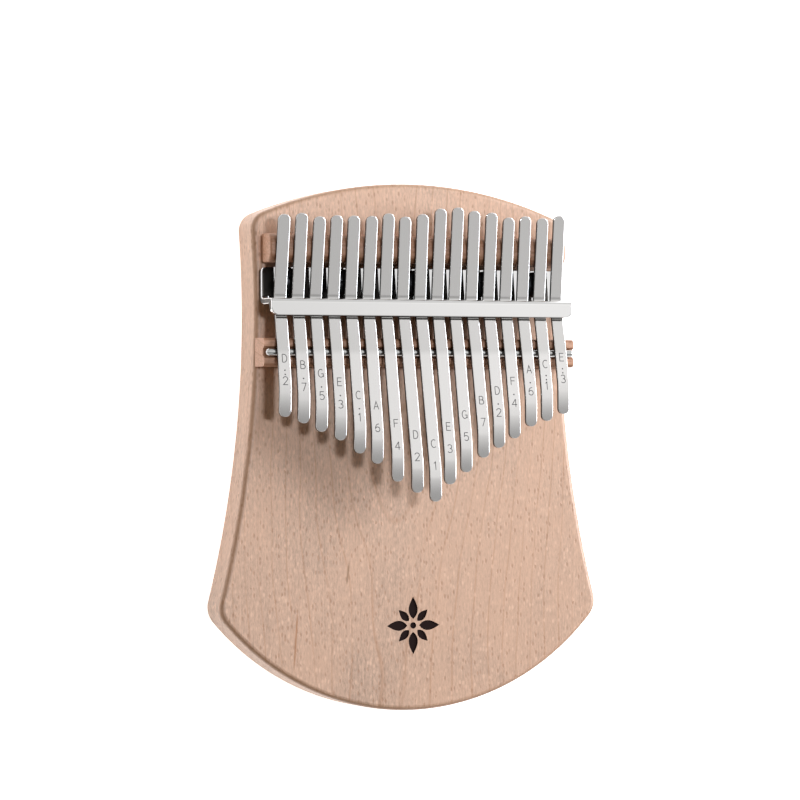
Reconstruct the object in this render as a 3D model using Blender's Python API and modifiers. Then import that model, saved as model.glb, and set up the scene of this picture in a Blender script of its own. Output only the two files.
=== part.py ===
"""A 17-key mbira (kalimba): a solid wooden plate with two wooden bridges, a folded steel bracket held by five
screws, a steel rod and seventeen sprung steel tines. It lies on its back, strings of tines upwards.

Frame: +Z out of the played face, +Y towards the tines' clamped ends, -Y towards the player, +X to the right.
The origin is under the middle of the plate, on the surface that it lies on.
"""

import math

import bmesh
import bpy
from mathutils import Matrix, Vector

MM = 0.001
GAP = 0.3 * MM  # between pieces that touch on the real object

# Wooden plate: its outline is four kinds of arc, joined by fillets
PLATE_LENGTH = 180 * MM
PLATE_THICKNESS = 14 * MM
CROWN_RADIUS = 144 * MM
FOOT_RADIUS = 90 * MM
WAIST_RADIUS = 385 * MM
WAIST_HALF_WIDTH = 57.2 * MM
WAIST_Y = 45.5 * MM
SHOULDER_FILLET = 6.5 * MM
HIP_FILLET = 8 * MM
PLATE_EDGE_ROUND = 1.6 * MM

# Tines: strips of spring steel, one for each note, as semitones above the longest one
NOTES = (26, 23, 19, 16, 12, 9, 5, 2, 0, 4, 7, 11, 14, 17, 21, 24, 28)
SEMITONES_PER_HALVING = 24  # a bar's pitch falls with the square of its length
LONGEST_TINE = 50.6 * MM  # from the rod to the tip
END_CORRECTION = 4.1 * MM  # what the tip's droop adds to the sounding length
TINE_PITCH = 6.4 * MM
TINE_WIDTH = 4.2 * MM
TINE_THICKNESS = 1.1 * MM
TINE_CORNER = 1.8 * MM
TINE_REAR_Y = 78.5 * MM
# Each tine was tapped in or out to tune it
TUNED_BY_MM = (-0.5, 0, -1, -0.5, -0.5, -0.5, 0.5, -0.5, 0.5, 2.5, 3, 2, 1.5, 0, 0.5, 0, 1)
# What was filed off each tip, or left on it, to bring it to its note
TRIMMED_BY_MM = (0, 0.2, 0.8, 0.8, 0.6, 0.6, -0.3, 0.2, 0.2, 0, 0, 0, 0, 0.2, 0.6, 0, -0.6)
# Turned in its slot by this much
ASKEW_DEG = (-0.8, -0.6, -0.8, -0.4, -0.1, -0.4, 0.2, 0.7, 0.7, 0.2, 0.2, 0.7, 0.4, 0.1, 0.4, 0.1, 0.3)

# Tine's upper face along its length, as heights over the plate's face
PINCH_Y = 49.2 * MM
PINCH_HEIGHT = 7.8 * MM
REAR_SLOPE = 0.12
CLAMPED_SLOPE = 0.222
FREE_SLOPE = 0.177
PINCH_BLEND = 2.5 * MM
DROOP_LENGTH = 12 * MM  # over this length a tine bends down to its tip
LEVEL_OFF = 4 * MM  # in the first part of that it becomes level
TIP_SLOPE = 0.06

# Rear bridge
REAR_BRIDGE_Y = 67.1 * MM
REAR_BRIDGE_WIDTH = 9.8 * MM
REAR_BRIDGE_HEIGHT = 8.4 * MM
REAR_BRIDGE_LENGTH = 109.6 * MM
REAR_BRIDGE_ROUND = 3.6 * MM

# Front bridge and the rod in its groove
ROD_Y = 32 * MM
ROD_RADIUS = 1.35 * MM
ROD_LENGTH = 113.4 * MM
ROD_CHAMFER = 0.4 * MM
FRONT_BRIDGE_WIDTH = 9.6 * MM
FRONT_BRIDGE_HEIGHT = 8.8 * MM
FRONT_BRIDGE_LENGTH = 114.8 * MM
FRONT_BRIDGE_ROUND = 1.5 * MM

# Bracket: one folded sheet, with a base flange, a slotted web and the pressure bar
SHEET = 2 * MM
BASE_REAR_Y = 61 * MM
WEB_REAR_Y = 50.9 * MM
BAR_FRONT_Y = 44.3 * MM
BAR_TOP = 11.6 * MM
BRACKET_LENGTH = 111.6 * MM
BEND_RADIUS = 1.1 * MM  # on the inside of a fold
BASE_CORNER = 2 * MM
BAR_CORNER = 2.6 * MM
SLOT_WIDTH = 4.9 * MM
SLOT_TOP = 8.5 * MM

# Bracket screws
SCREW_X_MM = (-45, -26, 0, 26, 45)
SCREW_Y = 55.9 * MM
SCREW_HEAD_RADIUS = 4.4 * MM
SCREW_HEAD_HEIGHT = 2.9 * MM
SCREW_SHANK_RADIUS = 1.75 * MM
SCREW_DEPTH = 9 * MM
RECESS_LENGTH = 4.6 * MM
RECESS_WIDTH = 0.9 * MM
RECESS_DEPTH = 1.5 * MM

ARC_STEP = math.radians(6)
LONG_ARC_STEP = math.radians(1.6)


# Scene, collections and materials


def clear_scene():
    for obj in list(bpy.data.objects):
        bpy.data.objects.remove(obj, do_unlink=True)


def new_collection(name, hidden=False):
    made = bpy.data.collections.new(name)
    bpy.context.scene.collection.children.link(made)
    made.hide_render = hidden
    return made


def new_material(name, color, roughness, metallic=0.0):
    made = bpy.data.materials.new(name)
    made.use_nodes = True
    shader = made.node_tree.nodes["Principled BSDF"]
    shader.inputs["Base Color"].default_value = (*color, 1)
    shader.inputs["Roughness"].default_value = roughness
    shader.inputs["Metallic"].default_value = metallic
    return made


# Outlines, as lists of 2D points


def arc(centre, radius, start, end, step=ARC_STEP):
    """Points along an arc, both ends included."""
    count = max(2, math.ceil(abs(end - start) / step))
    angles = [start + (end - start) * i / count for i in range(count + 1)]
    return [centre + radius * Vector((math.cos(a), math.sin(a))) for a in angles]


def meeting_point(centre_a, radius_a, centre_b, radius_b, upper):
    """Where two circles cross: the upper or the lower of their two common points."""
    across = centre_b - centre_a
    distance = across.length
    along = (radius_a**2 - radius_b**2 + distance**2) / (2 * distance)
    height = math.sqrt(radius_a**2 - along**2)
    unit = across / distance
    normal = Vector((-unit.y, unit.x))
    found = [centre_a + along * unit + side * height * normal for side in (1, -1)]
    return max(found, key=lambda p: p.y if upper else -p.y)


def angle_of(point, centre):
    return math.atan2(point.y - centre.y, point.x - centre.x)


def plate_outline():
    """The whole outline, counter-clockwise, from the crown's middle."""
    crown = Vector((0, PLATE_LENGTH / 2 - CROWN_RADIUS))
    foot = Vector((0, FOOT_RADIUS - PLATE_LENGTH / 2))
    waist = Vector((WAIST_HALF_WIDTH + WAIST_RADIUS, WAIST_Y))
    around_waist = WAIST_RADIUS + SHOULDER_FILLET
    shoulder = meeting_point(crown, CROWN_RADIUS - SHOULDER_FILLET, waist, around_waist, True)
    hip = meeting_point(foot, FOOT_RADIUS - HIP_FILLET, waist, WAIST_RADIUS + HIP_FILLET, False)
    turn = 2 * math.pi
    crown_end = angle_of(shoulder, crown)
    waist_start = angle_of(shoulder, waist) % turn
    waist_end = angle_of(hip, waist) % turn
    foot_start = angle_of(hip, foot)
    right = arc(crown, CROWN_RADIUS, math.pi / 2, crown_end, LONG_ARC_STEP)
    right += arc(shoulder, SHOULDER_FILLET, crown_end, waist_start - math.pi)[1:]
    right += arc(waist, WAIST_RADIUS, waist_start, waist_end, LONG_ARC_STEP / 2)[1:]
    right += arc(hip, HIP_FILLET, waist_end - math.pi, foot_start)[1:]
    right += arc(foot, FOOT_RADIUS, foot_start, -math.pi / 2, 2 * LONG_ARC_STEP)[1:]
    left = [Vector((-p.x, p.y)) for p in right[1:-1]]
    return left + right[::-1]


def rounded_box(low, high, radii):
    """A rectangle whose corners have these radii, from the lower left one counter-clockwise."""
    corners = ((low[0], low[1]), (high[0], low[1]), (high[0], high[1]), (low[0], high[1]))
    inwards = ((1, 1), (-1, 1), (-1, -1), (1, -1))
    points = []
    for index, (corner, inward, radius) in enumerate(zip(corners, inwards, radii)):
        start = math.pi + index * math.pi / 2
        if radius:
            centre = Vector(corner) + radius * Vector(inward)
            points += arc(centre, radius, start, start + math.pi / 2, 3 * ARC_STEP)
        else:
            points.append(Vector(corner))
    return points


# Solids


def prism(name, outline, thickness, material, collection):
    """An outline in its own XY plane, as thick as this about that plane, as a mesh."""
    curve = bpy.data.curves.new(name, "CURVE")
    curve.dimensions = "2D"
    curve.fill_mode = "BOTH"
    curve.extrude = thickness / 2
    spline = curve.splines.new("POLY")
    spline.points.add(len(outline) - 1)
    for point, place in zip(spline.points, outline):
        point.co = (place[0], place[1], 0, 1)
    spline.use_cyclic_u = True
    drawn = bpy.data.objects.new(name + "_outline", curve)
    bpy.context.scene.collection.objects.link(drawn)
    graph = bpy.context.evaluated_depsgraph_get()
    mesh = bpy.data.meshes.new_from_object(drawn.evaluated_get(graph))
    bpy.data.objects.remove(drawn)
    bpy.data.curves.remove(curve)
    cleaned = bmesh.new()
    cleaned.from_mesh(mesh)
    bmesh.ops.remove_doubles(cleaned, verts=cleaned.verts, dist=1e-6)
    bmesh.ops.recalc_face_normals(cleaned, faces=cleaned.faces)
    cleaned.to_mesh(mesh)
    cleaned.free()
    mesh.name = name
    mesh.materials.clear()
    if material:
        mesh.materials.append(material)
    obj = bpy.data.objects.new(name, mesh)
    collection.objects.link(obj)
    return obj


def along_x(obj, x=0.0):
    """Turns a profile that was drawn with (Y, Z) as its own axes, so that it runs along X."""
    obj.matrix_world = Matrix.Translation((x, 0, 0)) @ Matrix(
        ((0, 0, 1, 0), (1, 0, 0, 0), (0, 1, 0, 0), (0, 0, 0, 1))
    )
    return obj


def turned(name, profile, material, collection, steps=32):
    """A turned shape from its profile, as (radius, height) points from the top down, on its own Z axis."""
    mesh = bpy.data.meshes.new(name)
    edges = [(i, i + 1) for i in range(len(profile) - 1)]
    mesh.from_pydata([(r, 0, z) for r, z in profile], edges, [])
    if material:
        mesh.materials.append(material)
    obj = bpy.data.objects.new(name, mesh)
    collection.objects.link(obj)
    screw = obj.modifiers.new("Turn", "SCREW")
    screw.axis = "Z"
    screw.steps = steps
    screw.render_steps = steps
    screw.use_merge_vertices = True
    screw.merge_threshold = 1e-6
    screw.use_smooth_shade = True
    return obj


def box(name, low, high, collection):
    """A box between two corners, which a Boolean uses."""
    mesh = bpy.data.meshes.new(name)
    shape = bmesh.new()
    size = Vector(high) - Vector(low)
    middle = (Vector(high) + Vector(low)) / 2
    bmesh.ops.create_cube(shape, size=1, matrix=Matrix.Translation(middle) @ Matrix.Diagonal((*size, 1)))
    shape.to_mesh(mesh)
    shape.free()
    obj = bpy.data.objects.new(name, mesh)
    collection.objects.link(obj)
    return obj


def cylinder(name, radius, low, high, collection, segments=32):
    """An upright cylinder around the line between two points one above the other."""
    mesh = bpy.data.meshes.new(name)
    shape = bmesh.new()
    height = high[2] - low[2]
    centre = (Vector(high) + Vector(low)) / 2
    bmesh.ops.create_cone(
        shape,
        cap_ends=True,
        segments=segments,
        radius1=radius,
        radius2=radius,
        depth=height,
        matrix=Matrix.Translation(centre),
    )
    shape.to_mesh(mesh)
    shape.free()
    obj = bpy.data.objects.new(name, mesh)
    collection.objects.link(obj)
    return obj


def cutter(obj):
    obj.hide_render = True
    obj.display_type = "WIRE"
    return obj


def boolean(obj, other, operation="DIFFERENCE"):
    modifier = obj.modifiers.new(operation.title() + "_" + other.name, "BOOLEAN")
    modifier.operation = operation
    modifier.solver = "EXACT"
    modifier.object = other


def boolean_all(obj, collection):
    modifier = obj.modifiers.new("Cut_" + collection.name, "BOOLEAN")
    modifier.operand_type = "COLLECTION"
    modifier.operation = "DIFFERENCE"
    modifier.solver = "EXACT"
    modifier.collection = collection


def round_edges(obj, width, segments=2, limit=40):
    bevel = obj.modifiers.new("Rounded_edges", "BEVEL")
    bevel.width = width
    bevel.segments = segments
    bevel.limit_method = "ANGLE"
    bevel.angle_limit = math.radians(limit)
    obj.data.shade_smooth()
    obj.data.set_sharp_from_angle(angle=math.radians(35))


def inner_collection(name):
    """A collection of cutters for one piece."""
    made = bpy.data.collections.new(name)
    cutters.children.link(made)
    return made


# Sub-parts


def make_plate():
    plate = prism("body_plate", plate_outline(), PLATE_THICKNESS, maple, parts)
    plate.location.z = PLATE_THICKNESS / 2
    round_edges(plate, PLATE_EDGE_ROUND, segments=3)
    pilots = inner_collection("pilot_holes")
    for number, x in enumerate(SCREW_X_MM, 1):
        low = (x * MM, SCREW_Y, PLATE_THICKNESS - SCREW_DEPTH - GAP)
        high = (x * MM, SCREW_Y, PLATE_THICKNESS + 1 * MM)
        cutter(cylinder(f"pilot_hole_{number}", SCREW_SHANK_RADIUS + GAP, low, high, pilots, 20))
    boolean_all(plate, pilots)


def make_rear_bridge():
    half = REAR_BRIDGE_WIDTH / 2
    low = (REAR_BRIDGE_Y - half, FACE + GAP)
    high = (REAR_BRIDGE_Y + half, FACE + REAR_BRIDGE_HEIGHT)
    profile = rounded_box(low, high, (0, 0, REAR_BRIDGE_ROUND, REAR_BRIDGE_ROUND))
    bridge = prism("rear_bridge", profile, REAR_BRIDGE_LENGTH, beech, parts)
    along_x(bridge)
    round_edges(bridge, 0.5 * MM, segments=2, limit=60)


def front_bridge_profile():
    """Two rounded ridges with a round groove between them, which the rod lies in."""
    half = FRONT_BRIDGE_WIDTH / 2
    top = FACE + FRONT_BRIDGE_HEIGHT
    bottom = FACE + GAP
    groove = ROD_RADIUS + GAP
    round_off = FRONT_BRIDGE_ROUND
    inner_round = 0.6 * MM
    points = [Vector((ROD_Y - half, bottom)), Vector((ROD_Y + half, bottom))]
    front_round = Vector((ROD_Y - half + round_off, top - round_off))
    rear_round = Vector((ROD_Y + half - round_off, top - round_off))
    points += arc(rear_round, round_off, 0, math.pi / 2, 3 * ARC_STEP)
    lip = groove + inner_round
    points += arc(Vector((ROD_Y + lip, top - inner_round)), inner_round, math.pi / 2, math.pi, 5 * ARC_STEP)
    points += arc(Vector((ROD_Y, ROD_Z)), groove, 0, -math.pi, 3 * ARC_STEP)
    points += arc(Vector((ROD_Y - lip, top - inner_round)), inner_round, 0, math.pi / 2, 5 * ARC_STEP)
    points += arc(front_round, round_off, math.pi / 2, math.pi, 3 * ARC_STEP)
    return points


def make_front_bridge():
    bridge = prism("front_bridge", front_bridge_profile(), FRONT_BRIDGE_LENGTH, beech, parts)
    along_x(bridge)


def make_rod():
    end = ROD_LENGTH / 2
    profile = (
        (0, end),
        (ROD_RADIUS - ROD_CHAMFER, end),
        (ROD_RADIUS, end - ROD_CHAMFER),
        (ROD_RADIUS, ROD_CHAMFER - end),
        (ROD_RADIUS - ROD_CHAMFER, -end),
        (0, -end),
    )
    rod = turned("front_rod", profile, chrome, parts, 24)
    rod.rotation_euler = (0, math.pi / 2, 0)
    rod.location = (0, ROD_Y, ROD_Z)
    rod.data.set_sharp_from_angle(angle=math.radians(35))


def bracket_profile():
    """The folded sheet seen from its end: base flange, web and bar, with round folds."""
    base_low = FACE + GAP
    base_high = base_low + SHEET
    bar_high = FACE + BAR_TOP
    bar_low = bar_high - SHEET
    web_front = WEB_REAR_Y - SHEET
    inner = BEND_RADIUS
    outer = BEND_RADIUS + SHEET
    quarter = math.pi / 2
    step = 3 * ARC_STEP
    points = [Vector((BASE_REAR_Y, base_low)), Vector((BASE_REAR_Y, base_high))]
    points += arc(Vector((WEB_REAR_Y + inner, base_high + inner)), inner, -quarter, -2 * quarter, step)
    points += arc(Vector((WEB_REAR_Y - outer, bar_high - outer)), outer, 0, quarter, step)
    points += [Vector((BAR_FRONT_Y, bar_high)), Vector((BAR_FRONT_Y, bar_low))]
    points += arc(Vector((web_front - inner, bar_low - inner)), inner, quarter, 0, step)
    points += arc(Vector((web_front + outer, base_low + outer)), outer, -2 * quarter, -quarter, step)
    return points[::-1]


def make_bracket():
    bracket = prism("tine_bracket", bracket_profile(), BRACKET_LENGTH, chrome, parts)
    along_x(bracket)
    half = BRACKET_LENGTH / 2
    corners = (BAR_CORNER, BAR_CORNER, BASE_CORNER, BASE_CORNER)
    plan = rounded_box((-half, BAR_FRONT_Y), (half, BASE_REAR_Y), corners)
    rounded = prism("bracket_plan", plan, 60 * MM, None, cutters)
    boolean(bracket, cutter(rounded), "INTERSECT")
    holes = inner_collection("bracket_holes")
    floor = FACE + GAP + SHEET + 0.01 * MM
    for number in range(len(NOTES)):
        x = tine_x(number)
        low = (x - SLOT_WIDTH / 2, WEB_REAR_Y - SHEET - 2 * MM, floor)
        high = (x + SLOT_WIDTH / 2, WEB_REAR_Y + 2 * MM, FACE + SLOT_TOP)
        cutter(box(f"slot_{number + 1:02d}", low, high, holes))
    for number, x in enumerate(SCREW_X_MM, 1):
        low = (x * MM, SCREW_Y, FACE - 1 * MM)
        high = (x * MM, SCREW_Y, FACE + 4 * MM)
        cutter(cylinder(f"bracket_hole_{number}", SCREW_SHANK_RADIUS + GAP, low, high, holes, 24))
    boolean_all(bracket, holes)


def make_screw(number, x):
    under_head = FACE + 2 * GAP + SHEET
    dome = 6
    shoulder = 0.7 * MM
    profile = []
    for i in range(dome + 1):
        turn = math.pi / 2 * i / dome
        height = shoulder + (SCREW_HEAD_HEIGHT - shoulder) * math.cos(turn)
        profile.append((SCREW_HEAD_RADIUS * math.sin(turn), height))
    tip = -(under_head - FACE) - SCREW_DEPTH + 0.5 * MM
    profile += [
        (SCREW_HEAD_RADIUS, 0),
        (SCREW_SHANK_RADIUS, 0),
        (SCREW_SHANK_RADIUS, tip + 1.5 * MM),
        (0, tip),
    ]
    screw = turned(f"bracket_screw_{number}", profile, black_steel, parts, 28)
    screw.location = (x, SCREW_Y, under_head)
    recess = inner_collection(f"recess_{number}")
    turn = math.radians(20 + 37 * number)
    for arm in range(2):
        half = Vector((RECESS_LENGTH / 2, RECESS_WIDTH / 2, RECESS_DEPTH))
        bar = box(f"recess_{number}_{arm + 1}", -half, half, recess)
        bar.location = (x, SCREW_Y, under_head + SCREW_HEAD_HEIGHT)
        bar.rotation_euler = (0, 0, turn + arm * math.pi / 2)
        cutter(bar)
    boolean_all(screw, recess)


# Tines


def tine_x(number):
    """X of a tine's middle line where it passes its slot."""
    return (number - (len(NOTES) - 1) / 2) * TINE_PITCH


def tip_y(number):
    """Y of a tine's tip: the sounding length shortens as the note rises."""
    shortened = 2 ** (-NOTES[number] / SEMITONES_PER_HALVING)
    sounding = (LONGEST_TINE + END_CORRECTION) * shortened - END_CORRECTION
    return ROD_Y - sounding + TRIMMED_BY_MM[number] * MM


def sag(past):
    """How far a tine has sunk under its straight line, this far past the place where it starts to level off."""
    knee = min(past, LEVEL_OFF)
    rest = past - knee
    tip_bend = TIP_SLOPE * rest**2 / (2 * (DROOP_LENGTH - LEVEL_OFF))
    return FREE_SLOPE * (knee**2 / (2 * LEVEL_OFF) + rest) + tip_bend


def upper_face(y, tip):
    """Height of a tine's upper face over the plate's face."""
    at_rod = PINCH_HEIGHT + CLAMPED_SLOPE * (PINCH_Y - ROD_Y)
    if y < ROD_Y:
        return at_rod + FREE_SLOPE * (ROD_Y - y) - sag(max(0.0, tip + DROOP_LENGTH - y))
    away = y - PINCH_Y
    slope = REAR_SLOPE if away > 0 else -CLAMPED_SLOPE
    soft = max(0.0, 1 - abs(away) / PINCH_BLEND) ** 2 * PINCH_BLEND / 4
    return PINCH_HEIGHT + slope * away + soft * (REAR_SLOPE + CLAMPED_SLOPE)


def side_profile(low, high, tip):
    """A stretch of tine seen from its side, as (Y, Z) points."""
    bends = [PINCH_Y + PINCH_BLEND * i / 3 for i in range(-3, 4)]
    bends += [tip + DROOP_LENGTH * i / 6 for i in range(7)]
    inside = sorted(y for y in bends if low < y < high)
    places = [low] + inside + [high]
    top = [Vector((y, FACE + upper_face(y, tip))) for y in places]
    return [p - Vector((0, TINE_THICKNESS)) for p in top] + top[::-1]


def make_strip(name, number, low, high, round_low):
    """The stretch of a tine between two values of Y, with one round end."""
    tip = tip_y(number)
    spare = 1 * MM  # beyond the round end, which the plan cuts away
    begin = low - spare if round_low else low
    end = high if round_low else high + spare
    strip = prism(name, side_profile(begin, end, tip), TINE_WIDTH + 2 * spare, spring_steel, parts)
    turn = Matrix.Rotation(math.radians(ASKEW_DEG[number]), 4, "Z")
    pivot = Matrix.Translation((tine_x(number), PINCH_Y, 0))
    placed = pivot @ turn @ pivot.inverted()
    along_x(strip, tine_x(number))
    half = TINE_WIDTH / 2
    ends = (TINE_CORNER, TINE_CORNER, 0, 0) if round_low else (0, 0, TINE_CORNER, TINE_CORNER)
    plan = rounded_box((tine_x(number) - half, low), (tine_x(number) + half, high), ends)
    outline = prism(name + "_plan", plan, 90 * MM, None, cutters)
    boolean(strip, cutter(outline), "INTERSECT")
    strip.matrix_world = placed @ strip.matrix_world
    outline.matrix_world = placed @ outline.matrix_world
    return strip


def set_origin(obj, place):
    """Moves an object's origin and leaves its shape where it is."""
    bpy.context.view_layer.update()
    world = obj.matrix_world.copy()
    obj.data.transform(Matrix.Translation(Vector(place)).inverted() @ world)
    obj.matrix_world = Matrix.Translation(place)


def make_tine(number):
    """A tine: a shank that the bracket clamps, and beyond the rod a tongue that the thumb bends down."""
    rear = TINE_REAR_Y + TUNED_BY_MM[number] * MM
    label = f"tine_{number + 1:02d}"
    shank = make_strip(label + "_shank", number, ROD_Y + GAP / 2, rear, False)
    tongue = make_strip(label + "_tongue", number, tip_y(number), ROD_Y - GAP / 2, True)
    set_origin(shank, (tine_x(number), PINCH_Y, FACE + PINCH_HEIGHT))
    set_origin(tongue, (tine_x(number), ROD_Y, ROD_Z + ROD_RADIUS))


FACE = PLATE_THICKNESS
ROD_TOP = PINCH_HEIGHT + CLAMPED_SLOPE * (PINCH_Y - ROD_Y) - TINE_THICKNESS - GAP
ROD_Z = FACE + ROD_TOP - ROD_RADIUS

clear_scene()
parts = new_collection("mbira")
cutters = new_collection("cutters", hidden=True)
maple = new_material("maple", (0.72, 0.52, 0.38), 0.5)
beech = new_material("bridge_wood", (0.5, 0.29, 0.2), 0.55)
chrome = new_material("chrome", (0.75, 0.75, 0.75), 0.08, 1)
spring_steel = new_material("spring_steel", (0.58, 0.56, 0.54), 0.32, 1)
black_steel = new_material("black_steel", (0.02, 0.02, 0.02), 0.35, 1)

make_plate()
make_rear_bridge()
make_front_bridge()
make_rod()
make_bracket()
for screw_number, screw_x in enumerate(SCREW_X_MM, 1):
    make_screw(screw_number, screw_x * MM)
for tine_number in range(len(NOTES)):
    make_tine(tine_number)
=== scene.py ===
"""The looks of a 17-key mbira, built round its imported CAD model."""

import math

import bmesh
import bpy
from mathutils import Matrix, Vector


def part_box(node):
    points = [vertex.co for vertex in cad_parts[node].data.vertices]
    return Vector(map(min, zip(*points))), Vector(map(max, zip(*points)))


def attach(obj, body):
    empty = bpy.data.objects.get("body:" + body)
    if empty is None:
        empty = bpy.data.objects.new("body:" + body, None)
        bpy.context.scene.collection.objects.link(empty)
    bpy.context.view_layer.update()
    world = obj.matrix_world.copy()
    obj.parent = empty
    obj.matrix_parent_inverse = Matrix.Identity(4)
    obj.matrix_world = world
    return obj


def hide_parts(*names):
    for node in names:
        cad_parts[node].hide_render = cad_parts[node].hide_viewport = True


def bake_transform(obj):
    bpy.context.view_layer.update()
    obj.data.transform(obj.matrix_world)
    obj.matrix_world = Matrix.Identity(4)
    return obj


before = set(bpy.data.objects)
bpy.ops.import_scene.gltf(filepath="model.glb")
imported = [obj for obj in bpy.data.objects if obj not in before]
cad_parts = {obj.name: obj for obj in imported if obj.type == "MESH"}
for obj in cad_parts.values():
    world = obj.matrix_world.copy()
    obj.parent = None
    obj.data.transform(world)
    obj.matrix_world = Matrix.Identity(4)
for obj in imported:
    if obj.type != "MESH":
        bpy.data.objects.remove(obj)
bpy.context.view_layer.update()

MM = 0.001
bpy.context.scene.view_settings.view_transform = "Standard"

# Dimensions that the CAD model has too
PLATE_LENGTH = 180 * MM
FACE = 14 * MM  # height of the plate's face
CROWN_RADIUS = 144 * MM
FOOT_RADIUS = 90 * MM
WAIST_RADIUS = 385 * MM
WAIST_HALF_WIDTH = 57.2 * MM
WAIST_Y = 45.5 * MM
SHOULDER_FILLET = 6.5 * MM
HIP_FILLET = 8 * MM

NOTES = (26, 23, 19, 16, 12, 9, 5, 2, 0, 4, 7, 11, 14, 17, 21, 24, 28)
SEMITONES_PER_HALVING = 24  # a strip half as long sounds two octaves higher
LONGEST_TINE = 50.6 * MM
END_CORRECTION = 4.1 * MM
TINE_PITCH = 6.4 * MM
TINE_WIDTH = 4.2 * MM
TINE_THICKNESS = 1.1 * MM
TINE_CORNER = 1.95 * MM
TINE_REAR_Y = 78.5 * MM
TUNED_BY_MM = (-0.5, 0, -1, -0.5, -0.5, -0.5, 0.5, -0.5, 0.5, 2.5, 3, 2, 1.5, 0, 0.5, 0, 1)
TRIMMED_BY_MM = (0, 0.2, 0.8, 0.8, 0.6, 0.6, -0.3, 0.2, 0.2, 0, 0, 0, 0, 0.2, 0.6, 0, -0.6)
ASKEW_DEG = (-0.8, -0.6, -0.8, -0.4, -0.1, -0.4, 0.2, 0.7, 0.7, 0.2, 0.2, 0.7, 0.4, 0.1, 0.4, 0.1, 0.3)
PINCH_Y = 49.2 * MM
PINCH_HEIGHT = 7.8 * MM
REAR_SLOPE = 0.12
CLAMPED_SLOPE = 0.222
FREE_SLOPE = 0.177
PINCH_BLEND = 2.5 * MM
DROOP_LENGTH = 12 * MM
LEVEL_OFF = 4 * MM
TIP_SLOPE = 0.06
ROD_Y = 32 * MM

# Single marks in the plate's grain: X and Y in mm, lean, width and length in mm, colour
GRAIN_MARKS = (
    (-42.9, -65.1, 0.07, 0.42, 21, (0.4, 0.17, 0.07)),
    (-23.8, -43, 0.12, 0.5, 8, (0.3, 0.17, 0.09)),
)

RINGS_PER_METRE = 210

# How far painted shade darkens the wood's rounded edges, more on those facing the front
EDGE_SHADE = 0.5
FRONT_EDGE_SHADE = 0.725

# Each tine's label: note name, octave dots, degree of the scale
LABELS = ("D..2", "B.7", "G.5", "E.3", "C.1", "A6", "F4", "D2", "C1",
          "E3", "G5", "B7", "D.2", "F.4", "A.6", "C..1", "E..3")  # fmt: skip
PEN = 0.24 * MM  # width of an engraved stroke
SIGN_HEIGHT = 2.7 * MM
DOT_RADIUS = 0.26 * MM
ENGRAVED_DEPTH = 0.3 * MM
LETTER_FROM_TIP = 19.6 * MM
NUMBER_FROM_TIP = 12.1 * MM
DOT_FROM_TIP = 15 * MM
FIRST_OF_TWO_DOTS_FROM_TIP = 15.6 * MM
DOT_SPACING = 1.4 * MM

# Studio: what mirrors see of the room is a brightness at each step from -1 to 1 along Y, times one along X
SKY_LIGHT = (0.132, 0.09, 0.05)
LIGHT_COLOR = (0.94, 1, 1.08)
FLOOR_GLOW = 1.0
ROOM_ALONG_Y = ((-1, 0.75), (-0.5, 0.6), (-0.44, 0.1), (-0.33, 0.08), (-0.24, 0.62), (-0.16, 0.66),
                (-0.12, 0.36), (-0.08, 0.42), (-0.02, 0.7), (0.01, 0.88), (0.15, 0.9), (0.33, 0.98),
                (0.42, 0.77), (1, 0.7))  # fmt: skip
ROOM_ALONG_X = ((-1, 0.8), (-0.4, 0.75), (-0.25, 0.31), (0.1, 0.35), (0.3, 0.8), (0.36, 0.84),
                (0.43, 1), (1, 1))  # fmt: skip
ROOM_GAIN = 1.1


# Camera: it looks down on the instrument from its left

CAMERA_DISTANCE = 1.2415
VIEW_WIDTH = 276.434 * MM  # what the camera takes in from side to side at that distance
VIEW_SHIFT = (1.637 * MM, 16.195 * MM)


def make_camera():
    tilt = math.radians(23.454)
    pitch = math.radians(0.526)
    roll = math.radians(0.22)
    back = Vector((-math.sin(tilt) * math.cos(pitch), -math.sin(pitch), math.cos(tilt) * math.cos(pitch)))
    right = Vector((math.cos(tilt), 0, math.sin(tilt)))
    up = back.cross(right)
    place = VIEW_SHIFT[0] * right + VIEW_SHIFT[1] * up + CAMERA_DISTANCE * back
    rolled_right = math.cos(roll) * right - math.sin(roll) * up
    rolled_up = math.sin(roll) * right + math.cos(roll) * up
    data = bpy.data.cameras.new("camera")
    data.sensor_width = 36
    data.lens = data.sensor_width * CAMERA_DISTANCE / VIEW_WIDTH
    data.clip_start = 0.1
    data.clip_end = 20
    camera = bpy.data.objects.new("camera", data)
    turn = Matrix((rolled_right, rolled_up, back)).transposed()
    camera.matrix_world = Matrix.Translation(place) @ turn.to_4x4()
    bpy.context.scene.collection.objects.link(camera)
    bpy.context.scene.camera = camera


def area_light(name, direction, distance, size, radiance):
    """A rectangular softbox that faces the instrument."""
    aim = Vector((0, 0, 0.02))
    place = aim + distance * Vector(direction).normalized()
    data = bpy.data.lights.new(name, "AREA")
    data.shape = "RECTANGLE"
    data.size, data.size_y = size
    data.energy = radiance * math.pi * size[0] * size[1]
    light = bpy.data.objects.new(name, data)
    light.location = place
    light.rotation_euler = (aim - place).to_track_quat("-Z", "Y").to_euler()
    data.color = LIGHT_COLOR
    bpy.context.scene.collection.objects.link(light)


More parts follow.
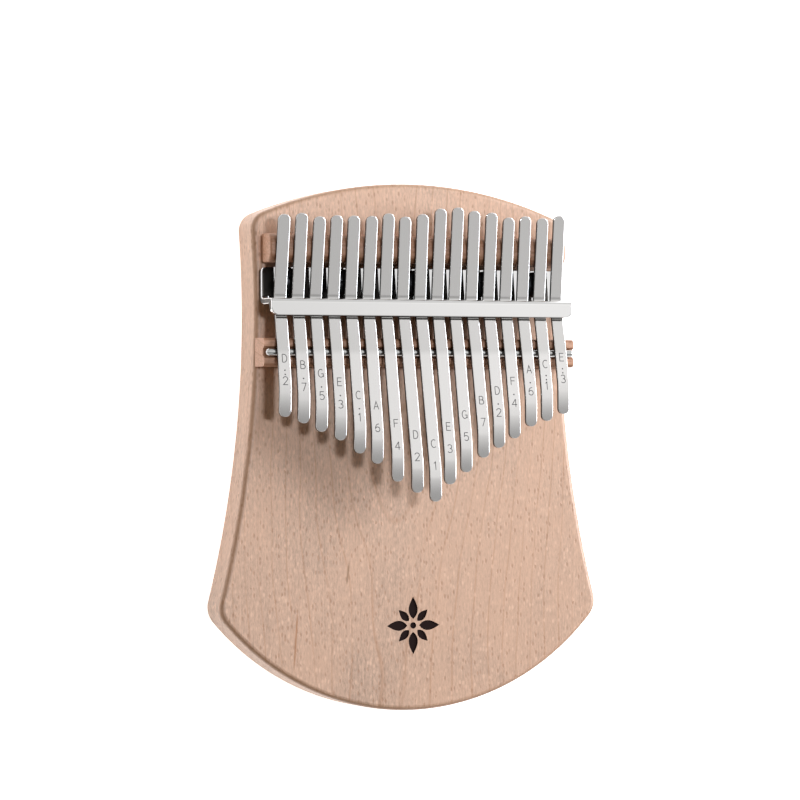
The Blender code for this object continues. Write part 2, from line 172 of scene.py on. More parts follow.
def make_world():
    """Dim even light for what is lit, and for mirrors a room that is bright overhead and dark in front."""
    world = bpy.data.worlds.new("studio")
    world.use_nodes = True
    nodes = world.node_tree.nodes
    links = world.node_tree.links

    def ramp(value, stops):
        span = nodes.new("ShaderNodeMapRange")
        span.inputs["From Min"].default_value = -1
        links.new(value, span.inputs["Value"])
        node = nodes.new("ShaderNodeValToRGB")
        elements = node.color_ramp.elements
        elements.remove(elements[1])
        for index, (place, bright) in enumerate(stops):
            element = elements.new((place + 1) / 2) if index else elements[0]
            element.color = (bright, bright, bright, 1)
        links.new(span.outputs["Result"], node.inputs["Fac"])
        return node.outputs["Color"]

    def calculated(operation, a, b):
        node = nodes.new("ShaderNodeMath")
        node.operation = operation
        for socket, value in zip(node.inputs, (a, b)):
            if isinstance(value, float):
                socket.default_value = value
            else:
                links.new(value, socket)
        return node.outputs[0]

    def mixed(factor, low, high):
        node = nodes.new("ShaderNodeMix")
        node.data_type = "RGBA"
        links.new(factor, node.inputs[0])
        for socket, value in ((node.inputs[6], low), (node.inputs[7], high)):
            if isinstance(value, tuple):
                socket.default_value = (*value, 1)
            else:
                links.new(value, socket)
        return node.outputs[2]

    split = nodes.new("ShaderNodeSeparateXYZ")
    links.new(nodes.new("ShaderNodeTexCoord").outputs["Generated"], split.inputs[0])
    along_y = ramp(split.outputs["Y"], ROOM_ALONG_Y)
    along_x = ramp(split.outputs["X"], ROOM_ALONG_X)
    room = calculated("MULTIPLY", along_y, along_x)
    room = calculated("MULTIPLY", room, ROOM_GAIN)
    path = nodes.new("ShaderNodeLightPath")
    undiffused = calculated("LESS_THAN", path.outputs["Diffuse Depth"], 0.5)
    mirrored = calculated("MULTIPLY", path.outputs["Is Glossy Ray"], undiffused)
    lit = mixed(mirrored, SKY_LIGHT, room)
    links.new(mixed(path.outputs["Is Camera Ray"], lit, (1, 1, 1)), nodes["Background"].inputs["Color"])
    nodes["Background"].inputs["Strength"].default_value = 1
    bpy.context.scene.world = world


def make_studio():
    make_world()
    area_light("overhead", (0.02, 0.1, 1), 1.6, (0.2, 0.2), 67)
    area_light("window", (0.8, 0.22, 0.42), 1.6, (1.2, 0.9), 10.5)
    mesh = bpy.data.meshes.new("floor")
    shape = bmesh.new()
    bmesh.ops.create_grid(shape, x_segments=1, y_segments=1, size=4)
    shape.to_mesh(mesh)
    shape.free()
    floor = bpy.data.objects.new("floor", mesh)
    paint = plain("floor_paint", (0.9, 0.9, 0.9), 0.8)
    shader = paint.node_tree.nodes["Principled BSDF"]
    shader.inputs["Emission Color"].default_value = (1, 1, 1, 1)
    shader.inputs["Emission Strength"].default_value = FLOOR_GLOW
    floor.data.materials.append(paint)
    bpy.context.scene.collection.objects.link(floor)


# Materials


def plain(name, color, roughness, metallic=0.0):
    made = bpy.data.materials.new(name)
    made.use_nodes = True
    shader = made.node_tree.nodes["Principled BSDF"]
    shader.inputs["Base Color"].default_value = (*color, 1)
    shader.inputs["Roughness"].default_value = roughness
    shader.inputs["Metallic"].default_value = metallic
    return made


class Nodes:
    """Builds a material's nodes, each at its object's own coordinates in metres."""

    def __init__(self, material):
        self.tree = material.node_tree
        self.shader = self.tree.nodes["Principled BSDF"]
        self.place = self.tree.nodes.new("ShaderNodeTexCoord").outputs["Object"]

    def add(self, kind, inputs=(), **settings):
        node = self.tree.nodes.new(kind)
        for name, value in settings.items():
            setattr(node, name, value)
        for name, value in dict(inputs).items():
            self.put(node.inputs[name], value)
        return node

    def put(self, socket, value):
        if isinstance(value, bpy.types.NodeSocket):
            self.tree.links.new(value, socket)
        else:
            socket.default_value = value

    def scaled(self, scale, shift=(0, 0, 0)):
        inputs = {"Vector": self.place, "Scale": scale, "Location": shift}
        return self.add("ShaderNodeMapping", inputs).outputs[0]

    def noise(self, scale, detail, roughness, shift=(0, 0, 0)):
        inputs = {"Vector": self.scaled(scale, shift), "Scale": 1.0, "Detail": detail, "Roughness": roughness}
        return self.add("ShaderNodeTexNoise", inputs).outputs["Fac"]

    def math(self, operation, a, b=0.0, c=0.0):
        node = self.add("ShaderNodeMath", operation=operation)
        for socket, value in zip(node.inputs, (a, b, c)):
            self.put(socket, value)
        return node.outputs[0]

    def remap(self, value, low, high, to_low=0.0, to_high=1.0):
        inputs = {"Value": value, "From Min": low, "From Max": high, "To Min": to_low, "To Max": to_high}
        return self.add("ShaderNodeMapRange", inputs).outputs["Result"]

    def mix(self, factor, a, b, blend="MIX"):
        node = self.add("ShaderNodeMix", data_type="RGBA", blend_type=blend)
        self.put(node.inputs[0], factor)
        self.put(node.inputs[6], a)
        self.put(node.inputs[7], b)
        return node.outputs[2]

    def bump(self, height, distance, strength):
        inputs = {"Height": height, "Distance": distance, "Strength": strength}
        return self.add("ShaderNodeBump", inputs).outputs[0]


def tinted(color, red, green, blue):
    return (color[0] * red, color[1] * green, color[2] * blue, 1)


def growth_lines(n, stretched, u, v, z):
    """How pale the early wood of each year's ring is, and the thin darker line that ends it."""
    depth = n.math("ADD", n.math("MULTIPLY", z, 0.35), u)
    warp = n.math("SUBTRACT", n.noise(stretched(14, 9), 2, 0.5), 0.5)
    reach = n.math("MULTIPLY", n.math("SUBTRACT", v, 0.22), 0.075)
    rings = n.math("SQRT", n.math("ADD", n.math("POWER", depth, 2), n.math("POWER", reach, 2)))
    rings = n.math("MULTIPLY_ADD", warp, 0.02, rings)
    phase = n.math("FRACT", n.math("MULTIPLY", rings, RINGS_PER_METRE))
    early = n.remap(phase, 0.0, 0.93)
    late = n.math("MULTIPLY", n.remap(phase, 0.86, 0.95), n.remap(phase, 1.0, 0.95))
    fade = n.remap(n.noise(stretched(60, 14), 2, 0.6), 0.33, 0.55)
    return early, n.math("MULTIPLY", late, fade)


def flecked(n, stretched, color, found):
    """The wood with a small dark pore in some cells of a net and a pale spot in others."""
    net = n.scaled(stretched(900, 480))
    cells = n.add("ShaderNodeTexVoronoi", {"Vector": net, "Scale": 1.0, "Randomness": 1.0})
    lot = n.add("ShaderNodeSeparateXYZ", {"Vector": cells.outputs["Color"]})
    crowd = n.remap(n.noise((45, 30, 45), 2, 0.6, shift=(3, 1, 0)), 0.3, 0.7, 0.93, 0.62)
    near = n.remap(cells.outputs["Distance"], 0.5, 0.2)
    dark = n.math("MULTIPLY", near, n.math("GREATER_THAN", lot.outputs["X"], crowd))
    pale = n.math("MULTIPLY", near, n.math("LESS_THAN", lot.outputs["X"], 0.16))
    found = n.mix(n.math("MULTIPLY", dark, 0.46), found, tinted(color, 0.56, 0.4, 0.28))
    return dark, n.mix(n.math("MULTIPLY", pale, 0.5), found, tinted(color, 1.35, 1.35, 1.35))


def marked(n, u, v, found):
    """The wood with its few single marks."""
    for x, y, lean, wide, length, tint in GRAIN_MARKS:
        along = n.math("SUBTRACT", v, y * MM)
        off = n.math("SUBTRACT", n.math("SUBTRACT", u, x * MM), n.math("MULTIPLY", along, lean))
        inside = n.remap(n.math("ABSOLUTE", off), wide * MM, 0.3 * wide * MM)
        ends = n.remap(n.math("ABSOLUTE", along), length / 2 * MM, 0.3 * length * MM)
        mark = n.math("MULTIPLY", n.math("MULTIPLY", inside, ends), 0.8)
        found = n.mix(mark, found, (*tint, 1))
    return found


def with_painted_edge_shade(n, color, found):
    """The wood, darkened with painted shade where a rounded edge turns down from an upper face, most of all
    towards the front.
    """
    facing = n.add("ShaderNodeTexCoord").outputs["Normal"]
    normal = n.add("ShaderNodeSeparateXYZ", {"Vector": facing})
    up = normal.outputs["Z"]
    rim = n.math("MULTIPLY", n.remap(up, 0.15, 0.55), n.remap(up, 0.99, 0.85))
    rim = n.math("MULTIPLY", rim, n.remap(normal.outputs["Y"], -0.5, 0.1, FRONT_EDGE_SHADE, EDGE_SHADE))
    return n.mix(rim, found, tinted(color, 0.48, 0.38, 0.28))


def wood(name, color, roughness, along="Y", marks=False):
    """Fine light wood: faint growth lines, short streaks, and many small pores, all along one axis."""
    across = "X" if along == "Y" else "Y"

    def stretched(wide, long):
        return tuple(long if axis == along else wide for axis in "XYZ")

    made = plain(name, color, roughness)
    n = Nodes(made)
    split = n.add("ShaderNodeSeparateXYZ", {"Vector": n.place})
    u = split.outputs[across]
    v = split.outputs[along]
    early, late_line = growth_lines(n, stretched, u, v, split.outputs["Z"])
    streaks = n.noise(stretched(1100, 60), 2, 0.6)
    grain = n.noise(stretched(1500, 420), 3, 0.7)
    cloud = n.noise((35, 22, 35), 3, 0.55)
    tone = n.math("MULTIPLY_ADD", n.math("SUBTRACT", streaks, 0.5), 0.42, 1.0)
    tone = n.math("MULTIPLY_ADD", n.math("SUBTRACT", grain, 0.5), 1.25, tone)
    tone = n.math("MULTIPLY_ADD", n.math("SUBTRACT", cloud, 0.5), 0.28, tone)
    tone = n.math("MULTIPLY_ADD", early, -0.035, tone)
    if marks:
        # Painted light: the plate is made paler towards the rear, where the light falls brighter, and darker
        # towards the front
        painted_light_to_the_rear = n.remap(v, -0.09, 0.085, -0.13, 0.11)
        tone = n.math("ADD", painted_light_to_the_rear, tone)
    grey = n.add("ShaderNodeCombineXYZ", {"X": tone, "Y": tone, "Z": tone}).outputs[0]
    found = n.mix(1.0, (*color, 1), grey, "MULTIPLY")
    found = n.mix(n.remap(cloud, 0.35, 0.65, 0, 0.5), found, tinted(color, 1.05, 0.97, 0.9))
    found = n.mix(n.math("MULTIPLY", late_line, 0.42), found, tinted(color, 0.66, 0.46, 0.3))
    pores, found = flecked(n, stretched, color, found)
    if marks:
        found = marked(n, u, v, found)
    # Painted shade darkens the wood's rounded edges
    n.put(n.shader.inputs["Base Color"], with_painted_edge_shade(n, color, found))
    height = n.math("MULTIPLY_ADD", grain, 0.6, n.math("MULTIPLY", pores, -1.0))
    n.put(n.shader.inputs["Normal"], n.bump(height, 0.00008, 0.6))
    n.put(n.shader.inputs["Roughness"], n.remap(grain, 0.3, 0.7, roughness + 0.06, roughness - 0.06))
    return made


# Outlines, as lists of 2D points


def arc(centre, radius, start, end, step=math.radians(3)):
    count = max(2, math.ceil(abs(end - start) / step))
    angles = [start + (end - start) * i / count for i in range(count + 1)]
    return [centre + radius * Vector((math.cos(a), math.sin(a))) for a in angles]


def meeting_point(centre_a, radius_a, centre_b, radius_b, upper):
    across = centre_b - centre_a
    distance = across.length
    along = (radius_a**2 - radius_b**2 + distance**2) / (2 * distance)
    height = math.sqrt(radius_a**2 - along**2)
    unit = across / distance
    normal = Vector((-unit.y, unit.x))
    found = [centre_a + along * unit + side * height * normal for side in (1, -1)]
    return max(found, key=lambda p: p.y if upper else -p.y)


def angle_of(point, centre):
    return math.atan2(point.y - centre.y, point.x - centre.x)


def plate_outline():
    crown = Vector((0, PLATE_LENGTH / 2 - CROWN_RADIUS))
    foot = Vector((0, FOOT_RADIUS - PLATE_LENGTH / 2))
    waist = Vector((WAIST_HALF_WIDTH + WAIST_RADIUS, WAIST_Y))
    around_waist = WAIST_RADIUS + SHOULDER_FILLET
    shoulder = meeting_point(crown, CROWN_RADIUS - SHOULDER_FILLET, waist, around_waist, True)
    hip = meeting_point(foot, FOOT_RADIUS - HIP_FILLET, waist, WAIST_RADIUS + HIP_FILLET, False)
    turn = 2 * math.pi
    fine = math.radians(0.8)
    crown_end = angle_of(shoulder, crown)
    waist_start = angle_of(shoulder, waist) % turn
    waist_end = angle_of(hip, waist) % turn
    foot_start = angle_of(hip, foot)
    right = arc(crown, CROWN_RADIUS, math.pi / 2, crown_end, fine)
    right += arc(shoulder, SHOULDER_FILLET, crown_end, waist_start - math.pi)[1:]
    right += arc(waist, WAIST_RADIUS, waist_start, waist_end, fine / 2)[1:]
    right += arc(hip, HIP_FILLET, waist_end - math.pi, foot_start)[1:]
    right += arc(foot, FOOT_RADIUS, foot_start, -math.pi / 2, fine)[1:]
    left = [Vector((-p.x, p.y)) for p in right[1:-1]]
    return left + right[::-1]


def rounded_box(low, high, radii, step=math.radians(9)):
    corners = ((low[0], low[1]), (high[0], low[1]), (high[0], high[1]), (low[0], high[1]))
    inwards = ((1, 1), (-1, 1), (-1, -1), (1, -1))
    points = []
    for index, (corner, inward, radius) in enumerate(zip(corners, inwards, radii)):
        start = math.pi + index * math.pi / 2
        if radius:
            centre = Vector(corner) + radius * Vector(inward)
            points += arc(centre, radius, start, start + math.pi / 2, step)
        else:
            points.append(Vector(corner))
    return points


# Meshes


def new_object(name, mesh):
    obj = bpy.data.objects.new(name, mesh)
    bpy.context.scene.collection.objects.link(obj)
    return obj


def prism(name, outline, low, high, along="Z"):
    """An outline as thick as from low to high along Z, or along X for an outline drawn as (Y, Z)."""
    shape = bmesh.new()
    rings = []
    for level in (low, high):
        points = [(p[0], p[1], level) if along == "Z" else (level, p[0], p[1]) for p in outline]
        rings.append([shape.verts.new(p) for p in points])
    count = len(outline)
    for i in range(count):
        j = (i + 1) % count
        shape.faces.new((rings[0][i], rings[0][j], rings[1][j], rings[1][i]))
    shape.faces.new(rings[0][::-1])
    shape.faces.new(rings[1])
    bmesh.ops.recalc_face_normals(shape, faces=shape.faces)
    mesh = bpy.data.meshes.new(name)
    shape.to_mesh(mesh)
    shape.free()
    return new_object(name, mesh)


def turned(name, profile):
    """A turned shape from (radius, height) points from the top down, on its own Z axis."""
    mesh = bpy.data.meshes.new(name)
    mesh.from_pydata([(r, 0, z) for r, z in profile], [(i, i + 1) for i in range(len(profile) - 1)], [])
    obj = new_object(name, mesh)
    screw = obj.modifiers.new("turn", "SCREW")
    screw.axis = "Z"
    screw.steps = 48
    screw.render_steps = 48
    screw.use_merge_vertices = True
    screw.merge_threshold = 1e-6
    applied(obj)
    return obj


def bevel(obj, width, segments=3, limit=40):
    modifier = obj.modifiers.new("bevel", "BEVEL")
    modifier.width = width
    modifier.segments = segments
    modifier.limit_method = "ANGLE"
    modifier.angle_limit = math.radians(limit)
    modifier.miter_outer = "MITER_ARC"
    applied(obj)


def cut(obj, others, operation="DIFFERENCE"):
    """Cuts other objects out of obj, whose cut faces take their material, and removes them."""
    for other in others:
        if not other.data.materials and obj.data.materials:
            other.data.materials.append(obj.data.materials[0])
        modifier = obj.modifiers.new("cut", "BOOLEAN")
        modifier.operation = operation
        modifier.solver = "EXACT"
        modifier.material_mode = "TRANSFER"
        modifier.object = other
    applied(obj)
    for other in others:
        bpy.data.objects.remove(other)


def applied(obj):
    """Puts the object's modifiers and its place into its mesh."""
    graph = bpy.context.evaluated_depsgraph_get()
    mesh = bpy.data.meshes.new_from_object(obj.evaluated_get(graph))
    old = obj.data
    obj.modifiers.clear()
    obj.data = mesh
    bpy.data.meshes.remove(old)
    mesh.name = obj.name
    mesh.transform(obj.matrix_world)
    obj.matrix_world = Matrix.Identity(4)


def crisp(mesh):
    """Smooth shading, in which a wide face next to a narrow rounded edge still reflects as a flat one."""
    mesh.shade_smooth()
    mesh.set_sharp_from_angle(angle=math.radians(35))
    shape = bmesh.new()
    shape.from_mesh(mesh)
    for edge in shape.edges:
        if len(edge.link_faces) == 2:
            areas = sorted(face.calc_area() for face in edge.link_faces)
            if areas[1] > 5 * areas[0] and edge.calc_face_angle(0) > math.radians(4):
                edge.smooth = False
    shape.to_mesh(mesh)
    shape.free()


def dressed(obj, material, replaces, body="instrument"):
    """Finishes a piece: its material if it has none, its shading, its body and what it stands for."""
    if not obj.data.materials:
        obj.data.materials.append(material)
    crisp(obj.data)
    if body:
        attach(obj, body)
    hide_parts(*replaces)


# Wooden pieces


def petal(turn, length, width, near, centre):
    """One pointed petal of the burnt rosette, as an outline."""
    steps = 10
    points = []
    for side in (1, -1):
        for i in range(steps):
            t = i / steps if side == 1 else 1 - i / steps
            points.append(Vector((near + length * t, side * width / 2 * math.sin(math.pi * t**0.8))))
    spun = Matrix.Rotation(turn, 2)
    return [centre + spun @ p for p in points]


def make_plate():
    plate = prism("body_plate_wood", plate_outline(), 0, FACE)
    bevel(plate, 1.7 * MM, 5)
    plate.data.materials.append(maple)
    centre = Vector((0.3 * MM, -61 * MM))
    depth = 0.35 * MM
    cutters = []
    for index in range(8):
        turn = math.tau * index / 8
        big = index % 2 == 0
        outline = petal(turn, (7.6 if big else 5.4) * MM, (3.4 if big else 2.6) * MM, 2.2 * MM, centre)
        cutters.append(prism(f"petal_{index}", outline, FACE - depth, FACE + depth))
    cutters.append(prism("rosette_eye", arc(centre, 1.1 * MM, 0, math.tau)[:-1], FACE - depth, FACE + depth))
    for cutter in cutters:
        cutter.data.materials.append(burnt)
    cut(plate, cutters)
    dressed(plate, maple, replaces=["body_plate"])


def make_rear_bridge():
    low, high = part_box("rear_bridge")
    half = (high.x - low.x) / 2
    points = rounded_box((low.y, low.z), (high.y, high.z), (0, 0, 3.6 * MM, 3.6 * MM))
    bridge = prism("rear_bridge_wood", points, -half, half, "X")
    bevel(bridge, 0.7 * MM, 3, 60)
    dressed(bridge, bridge_wood, replaces=["rear_bridge"])


def make_front_bridge():
    low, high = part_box("front_bridge")
    rod_low, rod_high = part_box("front_rod")
    rod_z = (rod_low.z + rod_high.z) / 2
    groove = (rod_high.z - rod_low.z) / 2 + 0.3 * MM
    half = (high.x - low.x) / 2
    top = high.z
    edge = 1.5 * MM
    lip = 0.6 * MM
    quarter = math.pi / 2
    step = math.radians(12)
    points = [Vector((low.y, low.z)), Vector((high.y, low.z))]
    points += arc(Vector((high.y - edge, top - edge)), edge, 0, quarter, step)
    points += arc(Vector((ROD_Y + groove + lip, top - lip)), lip, quarter, 2 * quarter, step)
    points += arc(Vector((ROD_Y, rod_z)), groove, 0, -2 * quarter, step)
    points += arc(Vector((ROD_Y - groove - lip, top - lip)), lip, 0, quarter, step)
    points += arc(Vector((low.y + edge, top - edge)), edge, quarter, 2 * quarter, step)
    bridge = prism("front_bridge_wood", points, -half, half, "X")
    bevel(bridge, 0.55 * MM, 3, 60)
    dressed(bridge, bridge_wood, replaces=["front_bridge"])


# Steel pieces


def make_rod():
    low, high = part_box("front_rod")
    radius = (high.z - low.z) / 2
    end = (high.x - low.x) / 2
    profile = [(0, end - 0.25 * MM), (0.3 * MM, end), (radius - 0.5 * MM, end)]
    profile += [(radius - 0.1 * MM, end - 0.35 * MM), (radius, end - 0.6 * MM)]
    profile += [(r, -h) for r, h in profile[::-1]]
    rod = turned("front_rod_steel", profile)
    middle = Matrix.Translation((0, ROD_Y, (low.z + high.z) / 2))
    rod.matrix_world = middle @ Matrix.Rotation(math.pi / 2, 4, "Y")
    applied(rod)
    dressed(rod, rod_steel, replaces=["front_rod"])


def make_bracket():
    low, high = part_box("tine_bracket")
    sheet = 2 * MM
    web_rear = 50.1 * MM
    inner = 1.1 * MM
    outer = inner + sheet
    fold = 1.5 * MM  # the bar's fold is tighter on its outside than the base's
    base_high = low.z + sheet
    bar_low = high.z - sheet
    web_front = web_rear - sheet
    quarter = math.pi / 2
    step = math.radians(10)
    points = [Vector((high.y, low.z)), Vector((high.y, base_high))]
    points += arc(Vector((web_rear + inner, base_high + inner)), inner, -quarter, -2 * quarter, step)
    points += arc(Vector((web_rear - fold, high.z - fold)), fold, 0, quarter, step)
    points += [Vector((low.y, high.z)), Vector((low.y, bar_low))]
    points += arc(Vector((web_front - inner, bar_low - inner)), inner, quarter, 0, step)
    points += arc(Vector((web_front + outer, low.z + outer)), outer, -2 * quarter, -quarter, step)
    half = high.x
    slot_half = 2.45 * MM
    slot_top = FACE + 8.5 * MM
    bracket = prism("tine_bracket_steel", points[::-1], -half - 1 * MM, half + 1 * MM, "X")
    bracket.data.materials.append(chrome)
    plan = rounded_box((-half, low.y), (half, high.y), (2.6 * MM, 2.6 * MM, 2 * MM, 2 * MM))
    cut(bracket, [prism("plan", plan, 0, 0.05)], "INTERSECT")
    bevel(bracket, 0.3 * MM, 2, 50)
    slots = []
    for number in range(len(NOTES)):
        x = tine_x(number)
        side = ((x - slot_half, base_high + 0.01 * MM), (x + slot_half, slot_top))
        hole = rounded_box(*side, (0.4 * MM,) * 4, math.radians(30))
        slot = prism(f"slot_{number}", [(p.x, p.y) for p in hole], web_front - 2 * MM, web_rear + 2 * MM)
        slot.matrix_world = Matrix(((1, 0, 0, 0), (0, 0, 1, 0), (0, 1, 0, 0), (0, 0, 0, 1)))
        applied(slot)
        slot.data.flip_normals()
        slots.append(slot)
    cut(bracket, slots)
    # Painted shade: the bracket's ends, sides and underside are rough sheared steel painted nearly black
    bracket.data.materials.append(sheared_and_shaded_steel)
    for face in bracket.data.polygons:
        end = face.normal.y < -0.95 and face.center.y < low.y + 0.1 * MM
        end = end or face.normal.y > 0.95 and face.center.y > high.y - 0.1 * MM
        if end or abs(face.normal.x) > 0.95 or face.normal.z < -0.7:
            face.material_index = 1
    dressed(bracket, chrome, replaces=["tine_bracket"])


def make_screw(number):
    node = f"bracket_screw_{number}"
    low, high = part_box(node)
    x = (low.x + high.x) / 2
    y = (low.y + high.y) / 2
    radius = (high.x - low.x) / 2
    under_head = high.z - 2.9 * MM
    rim = 0.7 * MM
    rise = 2.2 * MM
    shank = 1.7 * MM
    point = low.z - under_head
    turns = [math.pi / 2 * i / 10 for i in range(11)]
    profile = [(radius * math.sin(t), rim + rise * math.cos(t)) for t in turns]
    profile += [(radius - 0.15 * MM, 0), (shank, 0), (shank, point + 1.5 * MM), (0, point)]
    screw = turned(f"{node}_steel", profile)
    screw.matrix_world = Matrix.Translation((x, y, under_head))
    applied(screw)
    screw.data.materials.append(black_steel)
    arms = []
    outline = rounded_box((-2.4 * MM, -0.45 * MM), (2.4 * MM, 0.45 * MM), (0.2 * MM,) * 4)
    for arm in range(2):
        bar = prism(f"arm_{arm}", outline, -1.4 * MM, 1 * MM)
        turn = math.radians(20 + 37 * number + 90 * arm)
        bar.matrix_world = Matrix.Translation((x, y, high.z)) @ Matrix.Rotation(turn, 4, "Z")
        applied(bar)
        arms.append(bar)
    cut(screw, arms)
    dressed(screw, black_steel, replaces=[node])


# Tines


def tine_x(number):
    return (number - (len(NOTES) - 1) / 2) * TINE_PITCH


def tip_y(number):
    shortened = 2 ** (-NOTES[number] / SEMITONES_PER_HALVING)
    sounding = (LONGEST_TINE + END_CORRECTION) * shortened - END_CORRECTION
    return ROD_Y - sounding + TRIMMED_BY_MM[number] * MM


def sag(past):
    """How far a tine has sunk under its straight line, this far past where it starts to level off."""
    knee = min(past, LEVEL_OFF)
    rest = past - knee
    tip_bend = TIP_SLOPE * rest**2 / (2 * (DROOP_LENGTH - LEVEL_OFF))
    return FREE_SLOPE * (knee**2 / (2 * LEVEL_OFF) + rest) + tip_bend


def upper_face(y, tip):
    """Height of a tine's upper face over the plate's face."""
    at_rod = PINCH_HEIGHT + CLAMPED_SLOPE * (PINCH_Y - ROD_Y)
    if y < ROD_Y:
        return at_rod + FREE_SLOPE * (ROD_Y - y) - sag(max(0.0, tip + DROOP_LENGTH - y))
    away = y - PINCH_Y
    slope = REAR_SLOPE if away > 0 else -CLAMPED_SLOPE
    soft = max(0.0, 1 - abs(away) / PINCH_BLEND) ** 2 * PINCH_BLEND / 4
    return PINCH_HEIGHT + slope * away + soft * (REAR_SLOPE + CLAMPED_SLOPE)


def strip_outline(tip, rear, bends, inset):
    """Half of a tine's outline, from its rear end to its tip, moved inwards from the strip's edge."""
    corner = TINE_WIDTH / 2 - TINE_CORNER
    radius = TINE_CORNER - inset
    turns = [math.pi / 2 * i / 7 for i in range(8)]
    points = [(corner + radius * math.cos(t), rear - TINE_CORNER + radius * math.sin(t)) for t in turns[::-1]]
    points += [(TINE_WIDTH / 2 - inset, y) for y in bends]
    return points + [(corner + radius * math.cos(t), tip + TINE_CORNER - radius * math.sin(t)) for t in turns]


def tine_strip(number):
    """A tine as a stack of outlines, through the strip's thickness and its rounded edges."""
    tip = tip_y(number)
    rear = TINE_REAR_Y + TUNED_BY_MM[number] * MM
    bends = [PINCH_Y + PINCH_BLEND * i / 4 for i in range(-4, 5)]
    bends += [ROD_Y + i * MM for i in range(-3, 4)]
    bends += [tip + DROOP_LENGTH * i / 18 for i in range(19)]
    bends = [y for y in bends if tip + TINE_CORNER + 0.1 * MM < y < rear - TINE_CORNER]
    bends.sort(reverse=True)
    round_under = 0.12 * MM
    round_over = 0.14 * MM
    levels = [(-TINE_THICKNESS, round_under), (round_under - TINE_THICKNESS, 0)]
    for i in range(4):
        turn = math.radians(30 * i)
        levels.append((round_over * (math.sin(turn) - 1), round_over * (1 - math.cos(turn))))
    shape = bmesh.new()
    rings = []
    for height, inset in levels:
        right, left = [], []
        for x, y in strip_outline(tip, rear, bends, inset):
            z = FACE + upper_face(y, tip) + height
            right.append(shape.verts.new((x, y, z)))
            left.append(shape.verts.new((-x, y, z)))
        rings.append(right + left[::-1])
    count = len(rings[0])
    for level, (low, high) in enumerate(zip(rings, rings[1:])):
        for i in range(count):
            j = (i + 1) % count
            side = shape.faces.new((low[i], low[j], high[j], high[i]))
            # Painted shade: the strip's sides and lower rounded edge are rough sheared steel painted nearly
            # black
            side.material_index = 1 if level < 2 else 0
    for ring in (rings[0], rings[-1]):
        for i in range(count // 2 - 1):
            face = shape.faces.new((ring[i], ring[i + 1], ring[count - 2 - i], ring[count - 1 - i]))
            # The underside takes the same painted shade
            face.material_index = 1 if ring is rings[0] else 0
    bmesh.ops.recalc_face_normals(shape, faces=shape.faces)
    mesh = bpy.data.meshes.new("tine")
    shape.to_mesh(mesh)
    shape.free()
    strip = new_object(f"tine_{number + 1:02d}_steel", mesh)
    strip.data.materials.append(tine_steel)
    strip.data.materials.append(sheared_and_shaded_steel)
    return strip


def bow(centre, radii, start, end, steps=10):
    """Points on an ellipse, from one angle to another, in degrees."""
    angles = [math.radians(start + (end - start) * i / steps) for i in range(steps + 1)]
    return [Vector((centre[0] + radii[0] * math.cos(a), centre[1] + radii[1] * math.sin(a))) for a in angles]


def line(*points):
    return [Vector(p) for p in points]


def strokes(sign):
    """A letter or a number as pen strokes in a box 2 wide and 3 high about the origin."""
    stem = line((-0.8, -1.5), (-0.8, 1.5))
    return {
        "A": [line((-1, -1.5), (0, 1.5), (1, -1.5)), line((-0.6, -0.5), (0.6, -0.5))],
        "B": [stem, [Vector((-0.8, 1.5))] + bow((0, 0.8), (0.75, 0.7), 90, -90) + line((-0.8, 0.1)),
              line((-0.8, 0.1)) + bow((0.1, -0.7), (0.9, 0.8), 90, -90) + line((-0.8, -1.5))],
        "C": [bow((0.1, 0), (1.05, 1.5), 50, 310, 16)],
        "D": [stem, line((-0.8, 1.5)) + bow((-0.1, 0), (1.1, 1.5), 90, -90, 14) + line((-0.8, -1.5))],
        "E": [line((0.9, 1.5), (-0.8, 1.5), (-0.8, -1.5), (0.9, -1.5)), line((-0.8, 0.1), (0.7, 0.1))],
        "F": [line((0.9, 1.5), (-0.8, 1.5), (-0.8, -1.5)), line((-0.8, 0.1), (0.7, 0.1))],
        "G": [bow((0.05, 0), (1.05, 1.5), 50, 330, 16), line((0.2, -0.2), (1.0, -0.2), (1.0, -1.4))],
        "1": [line((-0.5, 0.9), (0.1, 1.5), (0.1, -1.5))],
        "2": [bow((0, 0.7), (0.9, 0.8), 170, -30) + line((-0.9, -1.5), (0.95, -1.5))],
        "3": [bow((-0.1, 0.78), (0.85, 0.72), 150, -90), bow((-0.1, -0.72), (0.95, 0.78), 90, -150)],
        "4": [line((0.45, -1.5), (0.45, 1.5)), line((0.4, 1.45), (-1, -0.6), (1, -0.6))],
        "5": [line((0.8, 1.5), (-0.65, 1.5), (-0.8, 0.1)) + bow((-0.05, -0.55), (0.95, 0.95), 110, -140, 12)],
        "6": [line((0.6, 1.45)) + bow((0.3, -0.5), (1.2, 1.9), 110, 180),
              bow((0, -0.6), (0.9, 0.9), 165, -165, 18)],
        "7": [line((-0.9, 1.5), (0.9, 1.5), (-0.3, -1.5))],
    }[sign]  # fmt: skip


def ribbon(points, width):
    """The outline of a pen stroke of this width along a line of points, with mitred corners."""
    sides = ([], [])
    for i, point in enumerate(points):
        before = (points[max(i, 1)] - points[max(i, 1) - 1]).normalized()
        after = (points[i + 1] - point).normalized() if i < len(points) - 1 else before
        along = (before + after).normalized()
        across = Vector((-along.y, along.x))
        reach = width / 2 / max(0.35, abs(across.dot(Vector((-after.y, after.x)))))
        sides[0].append(point + reach * across)
        sides[1].append(point - reach * across)
    return sides[0] + sides[1][::-1]


def glyph(sign):
    """A letter or a number as thin solids, one for each stroke, each a little deeper than the one before."""
    unit = SIGN_HEIGHT / 3
    solids = []
    for index, stroke in enumerate(strokes(sign)):
        outline = ribbon([unit * p for p in stroke], PEN)
        depth = ENGRAVED_DEPTH + 0.01 * index * MM
        solids.append(prism("stroke", outline, -depth, depth))
    return solids


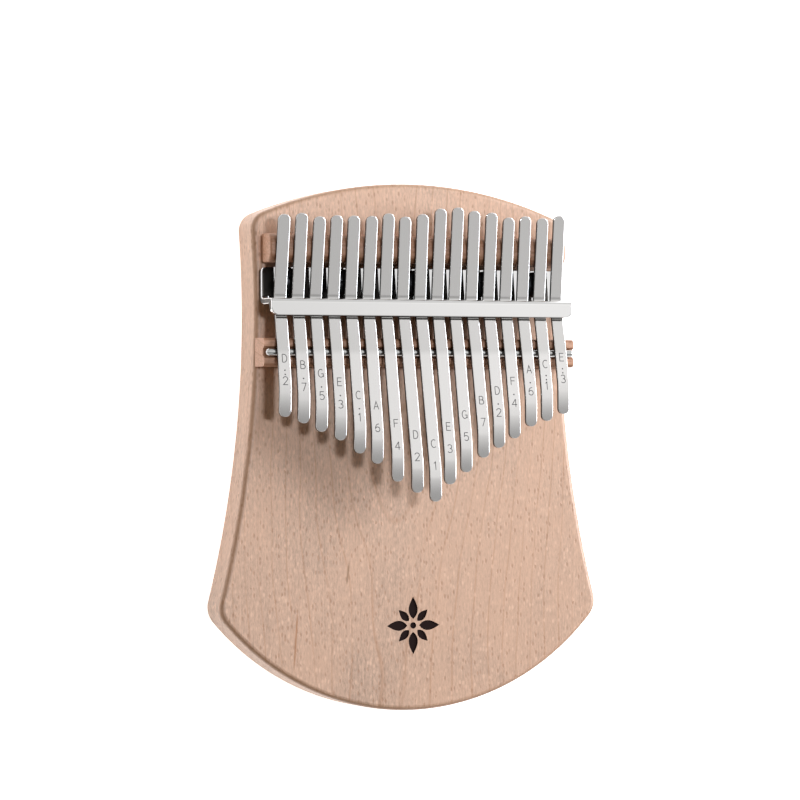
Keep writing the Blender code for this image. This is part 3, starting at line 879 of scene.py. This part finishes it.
def label_cutters(number):
    """The label's letter, dots and number, each lying in the tine's upper face."""
    tip = tip_y(number)
    label = LABELS[number]
    marks = [(stroke, LETTER_FROM_TIP) for stroke in glyph(label[0])]
    marks += [(stroke, NUMBER_FROM_TIP) for stroke in glyph(label[-1])]
    dots = label.count(".")
    first = FIRST_OF_TWO_DOTS_FROM_TIP if dots == 2 else DOT_FROM_TIP
    outline = arc(Vector((0, 0)), DOT_RADIUS, 0, math.tau, math.radians(30))[:-1]
    for index in range(dots):
        marks.append((prism("dot", outline, -ENGRAVED_DEPTH, ENGRAVED_DEPTH), first - DOT_SPACING * index))
    for obj, from_tip in marks:
        y = tip + from_tip
        slope = (upper_face(y + 0.5 * MM, tip) - upper_face(y - 0.5 * MM, tip)) / MM
        z = FACE + upper_face(y, tip) + 0.16 * MM
        obj.matrix_world = Matrix.Translation((0, y, z)) @ Matrix.Rotation(math.atan(slope), 4, "X")
        applied(obj)
        obj.data.materials.clear()
        obj.data.materials.append(engraving)
    return [obj for obj, _ in marks]


def make_tine(number):
    strip = tine_strip(number)
    cut(strip, label_cutters(number))
    pivot = Matrix.Translation((tine_x(number), PINCH_Y, 0))
    turn = Matrix.Rotation(math.radians(ASKEW_DEG[number]), 4, "Z")
    strip.matrix_world = pivot @ turn @ Matrix.Translation((0, -PINCH_Y, 0))
    applied(strip)
    label = f"tine_{number + 1:02d}"
    dressed(strip, tine_steel, replaces=[label + "_shank", label + "_tongue"], body=None)
    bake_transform(strip)


make_camera()
make_studio()

maple = wood("maple", (0.665, 0.44, 0.315), 0.42, marks=True)
bridge_wood = wood("bridge_wood", (0.6, 0.337, 0.22), 0.5, along="X")
burnt = plain("burnt_wood", (0.012, 0.004, 0.003), 0.7)
burnt.node_tree.nodes["Principled BSDF"].inputs["Specular IOR Level"].default_value = 0.1
chrome = plain("polished_chrome", (0.84, 0.83, 0.82), 0.035, 1)
rod_steel = plain("bright_rod", (0.62, 0.62, 0.61), 0.14, 1)
tine_steel = plain("ground_steel", (0.77, 0.755, 0.74), 0.1, 1)
# Rougher sheared steel, painted nearly black as painted shade on the steel parts' sides and undersides
sheared_and_shaded_steel = plain("sheared_and_shaded_steel", (0.075, 0.07, 0.065), 0.34, 1)
black_steel = plain("blackened_steel", (0.03, 0.03, 0.032), 0.3, 1)
engraving = plain("engraving", (0.06, 0.06, 0.06), 0.6, 0)

make_plate()
make_rear_bridge()
make_front_bridge()
make_rod()
make_bracket()
for screw_number in range(1, 6):
    make_screw(screw_number)
for tine_number in range(len(NOTES)):
    make_tine(tine_number)
